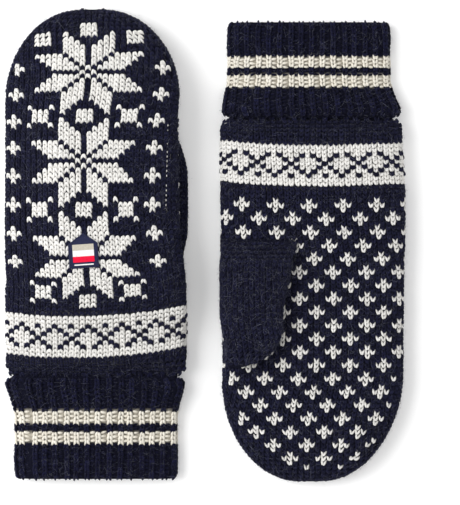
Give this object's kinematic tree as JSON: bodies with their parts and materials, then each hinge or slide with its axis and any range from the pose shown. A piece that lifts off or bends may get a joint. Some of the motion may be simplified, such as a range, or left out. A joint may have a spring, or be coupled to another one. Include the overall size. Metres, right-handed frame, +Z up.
{
  "type": "pair of knitted mittens",
  "caption": "Pair of lined wool mittens with stranded star, dot and band patterns, separate thumbs and striped rib cuffs, lying flat beside each other.",
  "frame": {"origin": "centre of the pair's outline on the surface that it lies on", "axes": "+Z up off the surface; +Y along both mittens, towards the left mitten's fingertips and the right mitten's cuff; +X from the left mitten to the right mitten"},
  "size_m": [0.2348, 0.2774, 0.0341],
  "materials": {
    "navy_knit": "fuzzy dark navy wool knit with off-white stranded pattern",
    "rib_knit": "dark navy one-by-one rib with cream stripes",
    "linking_yarn": "dark navy plied yarn",
    "fleece": "brushed dark grey-blue fleece",
    "label_weave": null,
    "label_thread": "fine navy sewing thread",
    "label_satin": "white satin ribbon, blank"
  },
  "bodies": {
    "left_hand": {"left_hand_shell": "navy_knit", "left_hand_lining": "fleece", "left_thumb_gusset": "navy_knit", "left_wrist_seam": "linking_yarn", "left_care_label": "label_satin", "left_woven_label": "label_weave", "left_label_thread": "label_thread"},
    "left_thumb": {"left_thumb_shell": "navy_knit", "left_thumb_lining": "fleece"},
    "left_cuff": {"left_rib_cuff": "rib_knit"},
    "right_hand": {"right_hand_shell": "navy_knit", "right_hand_lining": "fleece", "right_thumb_gusset": "navy_knit", "right_wrist_seam": "linking_yarn", "right_care_label": "label_satin"},
    "right_thumb": {"right_thumb_shell": "navy_knit", "right_thumb_lining": "fleece"},
    "right_cuff": {"right_rib_cuff": "rib_knit"}
  },
  "joints": [
    {"name": "left_thumb_swing", "type": "hinge", "parent": "left_hand", "child": "left_thumb", "pos_m": [-0.0338, 0.012, 0.006], "axis": [0, 0, -1], "range_deg": [-25, 30]},
    {"name": "left_cuff_bend", "type": "hinge", "parent": "left_hand", "child": "left_cuff", "pos_m": [-0.0648, -0.0778, 0.01], "axis": [-1, 0, 0], "range_deg": [0, 45]},
    {"name": "right_hand_move", "type": "slide", "parent": "left_hand", "child": "right_hand", "axis": [1, 0, 0], "range_m": [0, 0.15]},
    {"name": "right_thumb_swing", "type": "hinge", "parent": "right_hand", "child": "right_thumb", "pos_m": [0.0328, -0.0138, 0.0267], "axis": [0, 0, -1], "range_deg": [-25, 30]},
    {"name": "right_cuff_bend", "type": "hinge", "parent": "right_hand", "child": "right_cuff", "pos_m": [0.0638, 0.076, 0.01], "axis": [1, 0, 0], "range_deg": [0, 45]}
  ]
}
